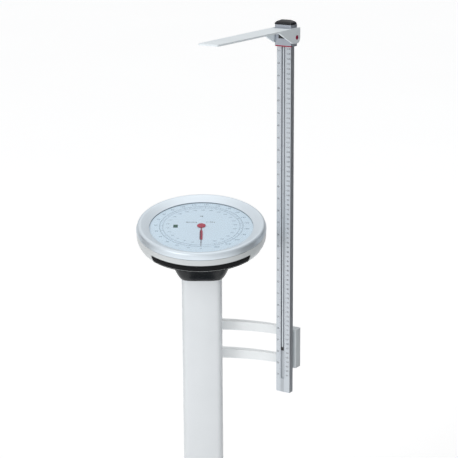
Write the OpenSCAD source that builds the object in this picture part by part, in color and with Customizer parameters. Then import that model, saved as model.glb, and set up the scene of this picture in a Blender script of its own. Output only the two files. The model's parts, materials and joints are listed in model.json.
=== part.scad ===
// Column scale with a tilted round dial and a folding-arm height rod.
// Millimetres, +Z up, viewer on the -Y side. Shapes are drawn about the column's axis and
// moved so that the origin is the middle of the bounding box's floor.

/* [Base] */
// Width of the platform and the base
base_w = 335; // [320:1:350]
// Height of the mat's top above the floor
platform_top = 91.4; // [88:0.1:100]
// Front edge of the platform, from the column's axis
platform_front = 395; // [380:1:420]

/* [Column] */
// Half the width of the oval column
column_a = 42.5; // [40:0.5:45]
// Half the depth of the oval column
column_b = 29.5; // [29:0.5:32]
// Height of the neck's lower edge
neck_bottom = 872; // [850:1:900]

/* [Dial head] */
// Height of the middle of the bezel's crown
dial_z = 989.5; // [980:1:1000]
// Tilt of the dial towards the viewer
dial_tilt = 13.8; // [8:0.1:16]
// Outer radius of the bezel
bezel_r = 136; // [134:0.1:138]
// Sweep of the pointer from zero to full load
pointer_sweep = 340; // [300:1:350]

/* [Height rod] */
// Turn of the rod's face away from straight ahead
rod_turn = 33; // [30:0.5:35]
// Middle of the rod's face, sideways from the column
rod_x = 169.2; // [166:0.1:175]
// Middle of the rod's face, ahead of the column's axis
rod_ahead = 41.6; // [39:0.1:44]
// Width of the rod
rod_w = 32.6; // [31:0.1:34]
// Depth of the rod
rod_d = 14; // [13:0.1:15]
// Reading at the sleeve's lower edge in the stored pose
stored_reading = 1304.6; // [1250:0.1:1310]
// Travel of the inner bar
bar_travel = 600; // [500:1:640]

/* [Hidden] */
$fn = 96;

fit = 0.05;        // radial clearance of a running fit
slack = 0.35;      // space between sliding pieces
white = [0.9, 0.92, 0.93];
silver = [0.8, 0.83, 0.84];
steel = [0.6, 0.62, 0.64];
brass = [0.8, 0.66, 0.35];
black = [0.06, 0.06, 0.07];
red = [0.75, 0.08, 0.15];

// Base tray and feet
tray_w = base_w - 15;
tray_front = platform_front - 7;
tray_rear = 60;
tray_z = 10;
tray_top = 46;
sheet = 2;
tray_floor = tray_z + sheet;

// Platform
cover_rear = -52;
mat_t = 5;
cover_top = platform_top - mat_t;
cover_wall = 1.6;
skirt_z = 38;
rear_skirt_z = 62;

// Levers: both load arms are alike, and the transfer lever's tip hangs half way between the fulcrums,
// so a load presses the same wherever it stands.
lever_z = 50;
load_arm = 30;
main_fulcrum_y = -370;
transfer_fulcrum_y = -75;
draw_y = -14;
link_y = (main_fulcrum_y + transfer_fulcrum_y) / 2;
link_drop = 16;
lever_ratio = (draw_y - main_fulcrum_y) / load_arm;
load_x = 116;
side_x = 104;
stand_x = 128;
shaft_r = 5;
load_pin_r = 4;
small_pin_r = 3;
lever_h = 10;

// Movement in the dial head
gear_module = 0.5;
pinion_teeth = 12;
pinion_r = gear_module * pinion_teeth / 2;
rack_travel = pinion_r * pointer_sweep * PI / 180;
crank_arm = 36;
crank_swing = rack_travel / crank_arm * 180 / PI / 2;
rack_z = -24;
crank_z = rack_z - crank_arm;
press_travel = rack_travel / lever_ratio;
crank_y = draw_y + crank_arm;
crank_local_y = (crank_y + crank_z * sin(dial_tilt)) / cos(dial_tilt);
crank_world_z = dial_z + crank_local_y * sin(dial_tilt) + crank_z * cos(dial_tilt);
arm_plane_x = 12;
crank_pin_r = 2.5;
drive_pin_r = 1.5;
arbor_r = 1.5;

// Dial head, heights measured from the bezel's crown
window_r = 108.7;
window_z = -8.4;
crown_r = 126;
seam_z = -12.8;
casing_r = bezel_r - 0.6;
casing_turn_z = -25.9;
casing_floor_z = -46;
casing_wall = 3;
opening_r = 38;
band_half_angle = 48.5;
glass_r = 112;
glass_t = 1.3;
glass_crown_z = -1.8;
glass_bend = 800;
dial_face_z = -10.6;
dial_rim_z = -12.2;
dial_back_z = -13.4;
arbor_y = 5;
movement_x = 43;
movement_y = 30;
lower_plate_z = -32;
upper_plate_z = -16.5;
plate_t = 1.5;

// Column
column_bend = 190;
column_corner = 15;
column_wall = 2;
foot_top = 84;
column_top = neck_bottom + 30;
corner_x = column_a - column_corner;
corner_y = column_b - column_bend + sqrt(pow(column_bend - column_corner, 2) - pow(corner_x, 2));
housing_top = platform_top - 3.6;
housing_rear = 88;
collar_h = 10;

// Height rod, in the rod's own axes: x across, y into the rod, z up
arm_rise = 33.4;   // from the reading edge to the arm's underside
label_zero = platform_top - arm_rise;
reading_z = label_zero + stored_reading;
rod_bottom = label_zero + 571.6;
scale_start = label_zero + 601.5;
line_h = 2.2;
sleeve_top = reading_z + 43.4;
sleeve_half = 19.5;
sleeve_front = -5;
sleeve_corner = 4.5;
sleeve_rear = rod_d + 4.6;
rod_top = sleeve_top - 0.4;
groove_x = -1.2;
groove_half = 4;
cavity_half = 13.6;
cavity_front = 2.2;
cavity_rear = 10.5;
bar_front = 6;
bar_bottom = label_zero + 671;
glide_h = 7.5;
pivot_y = 10.3;
pivot_z = reading_z + 18.1;
pivot_r = 3;
plate_bottom = reading_z + arm_rise;
arm_t = 3.5;
arm_root = -(22.5 - pivot_y);
arm_tip = -273;
arm_half = 23.8;
arm_tip_half = 22;
cheek_half = 19.9;
cheek_rear = pivot_y + 14;
box_half = 19.4;
box_front = rod_d + 6;
box_rear = box_front + 21.5;
box_z = label_zero + 621.4;
box_h = 84.8;
box_corner = 3;
bar_h = 19;
bars_z = [label_zero + 622.5, label_zero + 686];
bar_thick = 22;
bar_thin = 10;

// Each bracket arm follows one arc, square to the column's back and square to the rod's side.
arc_end_depth = box_rear - bar_thin / 2 - 0.2;
arc_end_x = rod_x + arc_end_depth * sin(rod_turn);
arc_end_y = -rod_ahead + arc_end_depth * cos(rod_turn);
arc_r = arc_end_x / sin(rod_turn);
arc_y = arc_end_y - arc_r * cos(rod_turn);

// Rollers
roller_r = 18;
roller_w = 16;
roller_x = 115;
roller_y = 80;
roller_z = 24;

// Outer side of the casing, from the seam down to the floor, as radius and height
function casing_radius(z) = casing_r - 5.4 * pow(max(0, casing_turn_z - z) / 16.5, 2);
casing_side = concat(
    [for (i = [0:8]) let (z = mix(casing_turn_z, -42.4, i / 8)) [casing_radius(z), z]],
    [for (i = [1:4]) [casing_r - 5.4 - 8 * (1 - cos(22.5 * i)), -42.4 - 3.6 * sin(22.5 * i)]]);
casing_inside = [for (i = [12:-1:0]) let (p = casing_side[i])
    [p.x - casing_wall, max(p.y, casing_floor_z + casing_wall)]];

// Middle of the bounding box
x_right = rod_x + box_corner + (box_half - box_corner) * cos(rod_turn)
    + (box_rear - box_corner) * sin(rod_turn);
mid_x = (x_right - base_w / 2) / 2;
head_rear = max([for (p = casing_side) p.x * cos(dial_tilt) - p.y * sin(dial_tilt)]);
mid_y = (head_rear - platform_front) / 2;

// ---- Shared shapes ----

function spow(v, e) = sign(v) * pow(abs(v), e);
function oval(a, b, n, count = 72) = [for (i = [0:count - 1]) let (t = 360 * i / count)
    [a * spow(cos(t), 2 / n), b * spow(sin(t), 2 / n)]];
function mix(a, b, t) = a + (b - a) * t;

module placed() translate([-mid_x, -mid_y, 0]) children();
module dial_frame() translate([0, 0, dial_z]) rotate([dial_tilt, 0, 0]) children();
module rod_frame() translate([rod_x, -rod_ahead, 0]) rotate([0, 0, -rod_turn]) children();
module at_both_sides(x) for (s = [-1, 1]) translate([s * x, 0, 0]) children();

module box3(lo, hi) translate(lo) cube(hi - lo);

module round_rect(lo, hi, r) {
    translate([lo.x + r, lo.y]) square([hi.x - lo.x - 2 * r, hi.y - lo.y]);
    translate([lo.x, lo.y + r]) square([hi.x - lo.x, hi.y - lo.y - 2 * r]);
    for (x = [lo.x + r, hi.x - r], y = [lo.y + r, hi.y - r]) translate([x, y]) circle(r);
}

module round_block(lo, hi, r) translate([0, 0, lo.z]) linear_extrude(hi.z - lo.z)
    round_rect([lo.x, lo.y], [hi.x, hi.y], r);

module x_cylinder(x0, x1, y, z, r) translate([x0, y, z]) rotate([0, 90, 0]) cylinder(r = r, h = x1 - x0);
module y_cylinder(x, y0, y1, z, r) translate([x, y1, z]) rotate([90, 0, 0]) cylinder(r = r, h = y1 - y0);

// A bar of width w and height h between two points, its ends square.
module strut(p, q, w, h) {
    d = q - p;
    run = norm([d.x, d.y]);
    translate(p) rotate([0, -atan2(d.z, run), atan2(d.y, d.x)])
        translate([0, -w / 2, -h / 2]) cube([norm(d), w, h]);
}

// Bowed oval: shallow arcs front and back, flat sides, tangent corners.
module column_shape(grow) {
    tangent_x = (column_bend + grow) * corner_x / (column_bend - column_corner);
    intersection() {
        translate([0, column_b - column_bend]) circle(column_bend + grow);
        translate([0, column_bend - column_b]) circle(column_bend + grow);
        translate([-tangent_x, -column_b - 5]) square([2 * tangent_x, 2 * column_b + 10]);
    }
    for (x = [-corner_x, corner_x], y = [-corner_y, corner_y]) translate([x, y]) circle(column_corner + grow);
    translate([-column_a - grow, -corner_y]) square([2 * (column_a + grow), 2 * corner_y]);
}

module column_prism(z0, z1, grow = 0) translate([0, 0, z0]) linear_extrude(z1 - z0) column_shape(grow);

// ---- Base ----

module base_tray() color(white) difference() {
    round_block([-tray_w / 2, -tray_front, tray_z], [tray_w / 2, tray_rear, tray_top], 18);
    round_block([-tray_w / 2 + sheet, -tray_front + sheet, tray_floor],
        [tray_w / 2 - sheet, tray_rear - sheet, tray_top + 1], 16);
}

module rubber_feet() color(black) for (y = [-360, 30]) at_both_sides(135) translate([0, y, 0]) {
    cylinder(r1 = 15, r2 = 17, h = 3);
    translate([0, 0, 3]) cylinder(r = 17, h = tray_z - 3);
}

module housing_shape(grow, z0, z1, edge) hull() for (s = [-1, 1]) {
    translate([s * (base_w / 2 - 4 + grow), -45 - grow, z0])
        cylinder(r = 4, h = z1 - z0 - edge, $fn = 24);
    translate([s * (base_w / 2 - 60), housing_rear - 60, z0])
        cylinder(r = 60 + grow, h = z1 - z0 - edge, $fn = 96);
    translate([s * (base_w / 2 - 12 + grow), -45 - grow, z1 - edge])
        cylinder(r = 4, h = edge, $fn = 24);
    translate([s * (base_w / 2 - 60), housing_rear - 60, z1 - edge])
        cylinder(r = 52 + grow, h = edge, $fn = 96);
}

module rear_housing() color(white) {
    housing_shell();
    at_both_sides(base_w / 2 - 6.5) box3([-4, -30, tray_top], [4, 30, tray_top + 6]);
}

module housing_shell() difference() {
    housing_shape(0, skirt_z, housing_top, 8);
    housing_shape(-3, skirt_z - 1, housing_top - 3, 7);
    box3([-base_w / 2 + 6, -60, skirt_z - 1], [base_w / 2 - 6, -40, rear_skirt_z]);
    at_both_sides(roller_x) box3([-roller_w / 2 - 6, 45, 0],
        [roller_w / 2 + 6, housing_rear + 10, roller_z + roller_r + 6]);
    column_prism(housing_top - 20, housing_top + 1, 0.3);
}

module base_collar() color(black) difference() {
    union() {
        column_prism(housing_top, housing_top + collar_h - 3, 6);
        column_prism(housing_top + collar_h - 3, housing_top + collar_h, 4.5);
    }
    column_prism(housing_top - 1, housing_top + collar_h + 1, 0.2);
}

bolt_at = [for (x = [-1, 1], y = [-32, 44]) [x * 58, y]];

module column_foot() color(steel) difference() {
    union() {
        box3([-66, -40, tray_floor], [66, 54, tray_floor + 8]);
        at_both_sides(46) box3([-4, -34, tray_floor + 8], [4, 34, foot_top - 8]);
        box3([-42, 26, tray_floor + 8], [42, 34, foot_top - 8]);
        box3([-50, -34, foot_top - 8], [50, 34, foot_top]);
        column_prism(foot_top, foot_top + 60, -column_wall - 0.2);
    }
    column_prism(foot_top - 9, foot_top + 61, -column_wall - 6);
    for (p = bolt_at) translate([p.x, p.y, 0]) cylinder(r = 4, h = tray_floor + 20);
}

module foot_bolts() color(steel) for (p = bolt_at) translate([p.x, p.y, tray_floor]) {
    cylinder(r = 4, h = 8);
    translate([0, 0, 8]) cylinder(r = 6.5, h = 5, $fn = 6);
}

module fulcrum_stands() color(steel) for (y = [main_fulcrum_y, transfer_fulcrum_y]) at_both_sides(stand_x)
    difference() {
        union() {
            translate([-4, y - 11, tray_floor]) cube([8, 22, lever_z - tray_floor]);
            x_cylinder(-4, 4, y, lever_z, 11);
        }
        x_cylinder(-5, 5, y, lever_z, shaft_r + fit);
    }

module roller_brackets() color(steel) for (s = [-1, 1]) {
    for (e = [-1, 1]) translate([s * roller_x + e * 10.5 - 1.25, 0, 0]) {
        translate([0, tray_rear, tray_floor]) cube([2.5, 20, 26]);
        x_cylinder(0, 2.5, roller_y, roller_z, 11);
    }
    x_cylinder(s * roller_x - 12.5, s * roller_x + 12.5, roller_y, roller_z, 4);
}

module roller(x) color(black) translate([x, roller_y, roller_z]) rotate([0, 90, 0])
    rotate_extrude() difference() {
        translate([4 + fit, -roller_w / 2]) square([roller_r - 4 - fit, roller_w]);
        for (y = [-roller_w / 2, roller_w / 2 - 2]) translate([9, y]) square([5, 2]);
    }

module roller_left() roller(-roller_x);
module roller_right() roller(roller_x);

// ---- Column ----

screw_x = 14;
module arm_screw_holes(r) for (z = bars_z, x = [-screw_x, screw_x])
    y_cylinder(x, 0, 80, z + bar_h / 2, r);

module column_tube() color(white) difference() {
    column_prism(foot_top, column_top);
    column_prism(foot_top - 1, column_top + 1, -column_wall);
    arm_screw_holes(2.5);
}

// Top of the neck: the plane of the casing's floor.
function floor_plane_z(y) = dial_z + (y * sin(dial_tilt) + casing_floor_z) / cos(dial_tilt);
function neck_a(s) = column_a + 1.1 + 31 * pow(max(s, 0), 0.75);
function neck_b(s) = column_b + 1.6 + 32 * pow(max(s, 0), 0.75);

// Loft of ovals from the column's outline to the casing's floor; s is 0 at the foot and 1 at the top.
module neck_loft(inset, levels) {
    count = 72;
    rings = [for (s = levels) let (n = mix(3.8, 2.1, min(1, max(0, s))))
        [for (p = oval(neck_a(s) - inset, neck_b(s) - inset, n, count))
            [p.x, p.y, mix(neck_bottom, floor_plane_z(p.y), s)]]];
    last = len(levels) - 1;
    polyhedron(
        points = [for (ring = rings) each ring],
        faces = concat(
            [[for (i = [0:count - 1]) i]],
            [[for (i = [count - 1:-1:0]) last * count + i]],
            [for (k = [0:last - 1], i = [0:count - 1]) let (j = (i + 1) % count)
                [k * count + j, k * count + i, (k + 1) * count + i, (k + 1) * count + j]]));
}

module neck() color(black) difference() {
    neck_loft(0, [0, 0.05, 0.12, 0.2, 0.3, 0.42, 0.56, 0.7, 0.85, 1]);
    neck_loft(3, [-0.1, 0.12, 0.3, 0.56, 0.85, 1.05]);
    column_prism(neck_bottom - 5, column_top, 0.05);
}

// ---- Dial head, drawn in the dial's own axes ----

band_side = [for (i = [0:8]) mix(-26.4, -41.9, i / 8)];
boss_at = [for (i = [0:5]) 104 * [cos(60 * i + 30), sin(60 * i + 30)]];
knob_y = 86;

module head_casing() color(silver) dial_frame() difference() {
    union() {
        rotate_extrude($fn = 180) polygon(concat(
            [[casing_r, seam_z - 1.5]], casing_side,
            [[opening_r, casing_floor_z], [opening_r, casing_floor_z + casing_wall]], casing_inside,
            [[casing_r - casing_wall, -17], [casing_r - 4.8, -15], [casing_r - 4.8, -8.4],
             [casing_r - 3.1, -8.4], [casing_r - 3.1, seam_z], [casing_r - 1.6, seam_z],
             [casing_r - 1.6, seam_z - 1.5]]));
        for (p = boss_at) translate([p.x, p.y, casing_floor_z + 1])
            cylinder(r = 4.5, h = dial_back_z - casing_floor_z - 1);
    }
    band_ring(2);
    translate([0, knob_y, casing_floor_z - 1]) cylinder(r = 3 + fit, h = 10);
}

// The grip's recess round the front of the casing; out is how far its face stands from the wall.
module band_ring(out) rotate([0, 0, -90 - band_half_angle])
    rotate_extrude(angle = 2 * band_half_angle, $fn = 180) polygon(concat(
        [for (z = band_side) [casing_radius(z) + out, z]],
        [for (i = [8:-1:0]) [casing_radius(band_side[i]) - 1.8, band_side[i]]]));

module grip_band() color(black) dial_frame() band_ring(-0.6);

module bezel_ring() color(silver) dial_frame() rotate_extrude($fn = 180) polygon(concat(
    [[window_r, window_z - 0.8], [window_r, window_z], [crown_r - 3, -1.45]],
    [[crown_r - 1, -0.6], [crown_r, -0.25]],
    [for (i = [0:6]) [crown_r + 1.2 + 7 * sin(11 * i), -6.6 + 6.6 * cos(11 * i)]],
    [[bezel_r - 1.1, -8], [bezel_r, -11], [bezel_r, seam_z], [casing_r - 3, seam_z], [casing_r - 3, -7.6],
     [crown_r + 0.4, -3.2], [113.2, -9.64], [glass_r, -9.64]]));

function glass_z(r) = glass_crown_z - r * r / 2 / glass_bend;
glass_rings = [for (i = [0:14]) glass_r * i / 14];

module dial_glass() color([0.8, 0.9, 0.95, 0.3]) dial_frame() rotate_extrude($fn = 180) polygon(concat(
    [for (r = glass_rings) [r, glass_z(r)]],
    [for (i = [14:-1:0]) [glass_rings[i], glass_z(glass_rings[i]) - glass_t]]));

module glass_gasket() color(black) dial_frame() rotate_extrude($fn = 180) polygon([
    [109, dial_rim_z], [109, glass_z(109) - glass_t - 0.02], [glass_r, glass_z(glass_r) - glass_t],
    [glass_r, -9.64], [112.9, -9.64], [112.9, dial_rim_z]]);

module dial_plate() color([0.82, 0.9, 0.95]) dial_frame() difference() {
    union() {
        translate([0, 0, dial_back_z]) cylinder(r = 113, h = dial_rim_z - dial_back_z);
        translate([0, 0, dial_back_z]) cylinder(r = 108.4, h = dial_face_z - dial_back_z);
    }
    translate([0, arbor_y, dial_back_z - 1]) cylinder(r = 2.2, h = 6);
}

pillar_at = [for (x = [-movement_x + 5, movement_x - 5], y = [-movement_y + 5, movement_y - 5]) [x, y + 5]];

module movement_plate(z) translate([0, 0, z]) linear_extrude(plate_t)
    round_rect([-movement_x, -movement_y + 5], [movement_x, movement_y + 5], 4);

module movement_lower_plate() color(brass) dial_frame() difference() {
    movement_plate(lower_plate_z);
    for (p = pillar_at) translate([p.x, p.y, lower_plate_z - 1]) cylinder(r = 3, h = 4);
    translate([0, arbor_y, lower_plate_z - 1]) cylinder(r = arbor_r + fit, h = 4);
    box3([arm_plane_x - 3, -7, lower_plate_z - 1], [arm_plane_x + 3, 24, lower_plate_z + 3]);
}

module movement_upper_plate() color(brass) dial_frame() difference() {
    movement_plate(upper_plate_z);
    translate([0, arbor_y, upper_plate_z - 1]) cylinder(r = arbor_r + fit, h = 4);
}

module movement_pillars() color(brass) dial_frame() for (p = pillar_at)
    translate([p.x, p.y, casing_floor_z + casing_wall])
        cylinder(r = 3, h = upper_plate_z - casing_floor_z - casing_wall);

module rack_guide() color(brass) dial_frame() {
    box3([3.6, -12, lower_plate_z + plate_t], [13, -5, rack_z - 3.1]);
    box3([10, -12, rack_z - 3.1], [13, -5, rack_z + 3]);
}

// ---- Movement ----

tooth_pitch = PI * gear_module;
rack_root = pinion_r + 0.62;
rack_tip = pinion_r - 0.36;

module rack() color(brass) dial_frame() difference() {
    translate([0, arbor_y, rack_z - 3]) linear_extrude(6) union() {
        translate([rack_root, -6]) square([9.9 - rack_root, 32]);
        for (k = [-3:15]) translate([0, k * tooth_pitch]) polygon([
            [rack_tip, -0.18], [rack_root + 0.3, -0.57], [rack_root + 0.3, 0.57], [rack_tip, 0.18]]);
    }
    translate([5.4, crank_local_y + rack_travel / 2 - drive_pin_r - 0.2, rack_z - 4])
        cube([8, 2 * drive_pin_r + 0.4, 6]);
}

gear_base = pinion_r * cos(20);
function roll(r) = sqrt(pow(r / gear_base, 2) - 1) * 180 / PI - acos(gear_base / r);
tooth_half = 360 / pinion_teeth / 4 - 0.9 + roll(pinion_r);
flank = [for (i = [0:5]) mix(gear_base, pinion_r + 0.42, i / 5)];

module pinion() color(brass) dial_frame() translate([0, arbor_y, 0]) {
    translate([0, 0, rack_z - 3.2]) linear_extrude(6.4) union() {
        circle(r = 2.3);
        for (i = [0:pinion_teeth - 1]) rotate((i + 0.5) * 360 / pinion_teeth) polygon(concat(
            [[1.5, -1.5 * tan(tooth_half)]],
            [for (r = flank) r * [cos(roll(r) - tooth_half), sin(roll(r) - tooth_half)]],
            [for (j = [5:-1:0]) let (r = flank[j], t = tooth_half - roll(r)) r * [cos(t), sin(t)]],
            [[1.5, 1.5 * tan(tooth_half)]]));
    }
    translate([0, 0, lower_plate_z - 1]) cylinder(r = arbor_r, h = pointer_z - lower_plate_z + 1);
}

pointer_z = dial_face_z + 0.5;

module pointer() color(red) dial_frame() translate([0, arbor_y, pointer_z]) linear_extrude(0.5) difference() {
    union() {
        circle(r = 6);
        polygon([[-1.25, 0], [-1.25, -19], [-3, -22], [-3.1, -58], [-0.9, -60], [-0.5, -84],
            [0.5, -84], [0.9, -60], [3.1, -58], [3, -22], [1.25, -19], [1.25, 0]]);
    }
    circle(r = 3);
}

module pointer_hub() color(red) dial_frame() translate([0, arbor_y, 0]) {
    translate([0, 0, pointer_z]) cylinder(r = 3, h = 0.5);
    translate([0, 0, pointer_z + 0.5]) cylinder(r = 9, h = 0.7);
    translate([0, 0, pointer_z + 1.2]) cylinder(r1 = 9, r2 = 8.5, h = 0.3);
}

module zero_knob() color(black) dial_frame() translate([0, knob_y, 0]) {
    translate([0, 0, casing_floor_z - 15]) cylinder(r = 12, h = 13.5);
    translate([0, 0, casing_floor_z - 2]) cylinder(r = 3, h = 12);
    translate([0, 0, casing_floor_z + casing_wall + 0.4]) cylinder(r = 6, h = 2);
}

// Bell crank, drawn about its own pivot and turned to its rest angle.
module crank_frame() translate([0, crank_y, crank_world_z]) children();

module bell_crank() color(steel) crank_frame() difference() {
    union() {
        x_cylinder(-12, arm_plane_x + 1.5, 0, 0, 7);
        rotate([-crank_swing, 0, 0]) strut([0, 0, 0], [0, -crank_arm - 4, 0], 5, 8);
        rotate([dial_tilt - crank_swing, 0, 0])
            box3([arm_plane_x - 1.5, -3, 0], [arm_plane_x + 1.4, 3, crank_arm + 3.5]);
    }
    x_cylinder(-20, 20, 0, 0, 4 + fit);
    rotate([-crank_swing, 0, 0]) x_cylinder(-5, 5, -crank_arm, 0, crank_pin_r);
    rotate([dial_tilt - crank_swing, 0, 0]) x_cylinder(8, 16, 0, crank_arm, drive_pin_r);
}

module bell_crank_pins() color(steel) crank_frame() {
    rotate([-crank_swing, 0, 0]) x_cylinder(-9, 9, -crank_arm, 0, crank_pin_r);
    rotate([dial_tilt - crank_swing, 0, 0])
        x_cylinder(5.8, arm_plane_x + 1.5, 0, crank_arm, drive_pin_r);
}

module crank_bracket() color(steel) dial_frame() {
    y0 = crank_local_y - 8;
    y1 = crank_local_y + 8;
    at_both_sides(17.5) box3([-1.5, y0, crank_z - 8], [1.5, y1, casing_floor_z]);
    at_both_sides(38.5) box3([-19.5, y0, casing_floor_z - 3], [19.5, y1, casing_floor_z]);
    x_cylinder(-20, 20, crank_local_y, crank_z, 4);
}

// ---- Draw rod and spring ----

spring_top = 862;
spring_len = 72;

module spring_hanger() color(steel) difference() {
    intersection() {
        column_prism(spring_top, spring_top + 8, -column_wall);
        box3([-50, draw_y - 8, spring_top], [50, draw_y + 8, spring_top + 8]);
    }
    translate([0, draw_y, spring_top - 1]) cylinder(r = 3.6, h = 10);
}

module main_spring() color(steel) translate([0, draw_y, spring_top - spring_len]) {
    wire = 1.5;
    coil = 9;
    turns = 9;
    steps = 14;
    sides = 8;
    height = spring_len - 2 * wire;
    rings = [for (k = [0:turns * steps]) let (a = 360 * k / steps, h = wire + height * k / (turns * steps))
        [for (j = [0:sides - 1]) let (b = 360 * j / sides, r = coil + wire * cos(b))
            [r * cos(a), r * sin(a), h + wire * sin(b)]]];
    last = len(rings) - 1;
    polyhedron(
        points = [for (ring = rings) each ring],
        faces = concat(
            [[for (j = [0:sides - 1]) j]],
            [[for (j = [sides - 1:-1:0]) last * sides + j]],
            [for (k = [0:last - 1], j = [0:sides - 1]) let (n = (j + 1) % sides)
                [k * sides + n, k * sides + j, (k + 1) * sides + j, (k + 1) * sides + n]]));
}

lower_yoke_top = lever_z + 20;
upper_yoke_z = crank_world_z - 12;

module draw_rod() color(steel) translate([0, draw_y, lower_yoke_top])
    cylinder(r = 3, h = upper_yoke_z - lower_yoke_top);

module spring_seat() color(steel) translate([0, draw_y, spring_top - spring_len - 6]) difference() {
    cylinder(r = 11, h = 6);
    translate([0, 0, -1]) cylinder(r = 3, h = 8);
}

module draw_rod_lower_yoke() color(steel) difference() {
    union() {
        box3([-11, draw_y - 9, lower_yoke_top - 5], [11, draw_y + 9, lower_yoke_top]);
        at_both_sides(9.5) box3([-1.5, draw_y - 9, lever_z - 8], [1.5, draw_y + 9, lower_yoke_top - 5]);
    }
    box3([-20, draw_y - small_pin_r - 1.2, lever_z - small_pin_r - 0.5],
        [20, draw_y + small_pin_r + 1.2, lever_z + small_pin_r + 0.5]);
}

module draw_rod_upper_yoke() color(steel) {
    pin_z = crank_world_z + crank_arm * sin(crank_swing);
    pin_y = crank_y - crank_arm * cos(crank_swing);
    difference() {
        union() {
            box3([-7.5, draw_y - 8, upper_yoke_z], [7.5, draw_y + 8, upper_yoke_z + 5]);
            at_both_sides(6) box3([-1.5, draw_y - 8, upper_yoke_z + 5], [1.5, draw_y + 8, pin_z + 6]);
        }
        box3([-20, draw_y - crank_pin_r - 0.6, pin_z - crank_pin_r - 0.4],
            [20, pin_y + crank_pin_r + 0.6, pin_z + crank_pin_r + 0.4]);
    }
}

// ---- Levers ----

module main_lever() color(steel) difference() {
    union() {
        at_both_sides(side_x) box3([-5, main_fulcrum_y - 9, lever_z - 6], [5, -325, lever_z + 6]);
        for (s = [-1, 1]) strut([s * side_x, -330, lever_z], [s * 8, -206, lever_z], 9, lever_h - 1);
        box3([-12, link_y - 11, lever_z - lever_h / 2], [12, link_y + 18, lever_z + lever_h / 2]);
        box3([-6, link_y + 10, lever_z - lever_h / 2 - 0.5], [6, draw_y + 7, lever_z + lever_h / 2 + 0.5]);
        at_both_sides(10.3)
            box3([-1.5, link_y - 9, lever_z - link_drop - 6.5], [1.5, link_y + 9, lever_z - 2]);
    }
    x_cylinder(-140, 140, main_fulcrum_y, lever_z, shaft_r);
    x_cylinder(-140, 140, main_fulcrum_y + load_arm, lever_z, load_pin_r);
    x_cylinder(-20, 20, draw_y, lever_z, small_pin_r);
    box3([-20, link_y - small_pin_r - 0.7, lever_z - link_drop - small_pin_r - 0.5],
        [20, link_y + small_pin_r + 2.7, lever_z - link_drop + small_pin_r + 0.5]);
}

module main_lever_pins() color(steel) {
    x_cylinder(-stand_x - 6, stand_x + 6, main_fulcrum_y, lever_z, shaft_r);
    at_both_sides(109) x_cylinder(-13, 13, main_fulcrum_y + load_arm, lever_z, load_pin_r);
    x_cylinder(-12.5, 12.5, draw_y, lever_z, small_pin_r);
}

module transfer_lever() color(steel) difference() {
    union() {
        at_both_sides(side_x) box3([-5, -119, lever_z - 6], [5, transfer_fulcrum_y + 9, lever_z + 6]);
        for (s = [-1, 1]) strut([s * side_x, -114, lever_z], [s * 3, link_y + 13, lever_z - link_drop], 9, 7);
        box3([-7.5, link_y - 8, lever_z - link_drop - 4.5], [7.5, link_y + 18, lever_z - link_drop + 4.5]);
    }
    x_cylinder(-140, 140, transfer_fulcrum_y, lever_z, shaft_r);
    x_cylinder(-140, 140, transfer_fulcrum_y - load_arm, lever_z, load_pin_r);
    x_cylinder(-20, 20, link_y, lever_z - link_drop, small_pin_r);
}

module transfer_lever_pins() color(steel) {
    at_both_sides(115) x_cylinder(-19, 19, transfer_fulcrum_y, lever_z, shaft_r);
    at_both_sides(109) x_cylinder(-13, 13, transfer_fulcrum_y - load_arm, lever_z, load_pin_r);
    x_cylinder(-13, 13, link_y, lever_z - link_drop, small_pin_r);
}

// ---- Platform ----

module platform_cover() color(white) difference() {
    round_block([-base_w / 2, -platform_front, skirt_z], [base_w / 2, cover_rear, cover_top], 20);
    round_block([-base_w / 2 + cover_wall, -platform_front + cover_wall, skirt_z - 1],
        [base_w / 2 - cover_wall, cover_rear - cover_wall, cover_top - 2], 18.4);
    box3([-base_w / 2 - 1, cover_rear - 24, skirt_z - 1], [base_w / 2 + 1, cover_rear + 1, rear_skirt_z]);
}

module platform_mat() color(black) round_block([-base_w / 2 + 9, -platform_front + 9, cover_top],
    [base_w / 2 - 9, cover_rear - 9, platform_top], 12);

module platform_frame() color(steel) difference() {
    union() {
        at_both_sides(load_x) box3([-5, -376, 72], [5, -66, cover_top - 2]);
        for (y = [main_fulcrum_y + load_arm, transfer_fulcrum_y - load_arm]) {
            box3([-load_x - 5, y - 8, 72], [load_x + 5, y + 8, cover_top - 2]);
            at_both_sides(load_x) box3([-5, y - 8, lever_z - 3], [5, y + 8, 72]);
        }
    }
    for (y = [main_fulcrum_y + load_arm, transfer_fulcrum_y - load_arm])
        box3([-140, y - load_pin_r - 0.3, lever_z - 10],
            [140, y + load_pin_r + 0.3, lever_z + load_pin_r + 0.2]);
}

// ---- Bracket ----

band_turns = [for (i = [0:32]) mix(-4.5, rod_turn, i / 32)];
function band_half(a) = mix(bar_thick, bar_thin, max(0, a) / rod_turn) / 2;

module arc_band(z) translate([0, 0, z]) linear_extrude(bar_h) polygon(concat(
    [for (a = band_turns) [0, arc_y] + (arc_r + band_half(a)) * [sin(a), cos(a)]],
    [for (i = [32:-1:0]) let (a = band_turns[i]) [0, arc_y] + (arc_r - band_half(a)) * [sin(a), cos(a)]]));

module box_body() rod_frame() translate([0, 0, box_z]) linear_extrude(box_h)
    round_rect([-box_half, box_front], [box_half, box_rear], box_corner);

module bracket_arm(z) color(white) difference() {
    union() {
        arc_band(z);
        box3([-27, column_b - 8, z], [27, column_b + 8, z + bar_h]);
    }
    column_prism(z - 1, z + bar_h + 1);
    rod_frame() box3([-box_half, box_front, box_z], [box_half + 20, box_rear + 5, box_z + box_h]);
    arm_screw_holes(2.5);
    for (x = [-screw_x, screw_x]) y_cylinder(x, column_b + 13, 80, z + bar_h / 2, 4.6);
}

module upper_bracket_arm() bracket_arm(bars_z[1]);
module lower_bracket_arm() bracket_arm(bars_z[0]);

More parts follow.
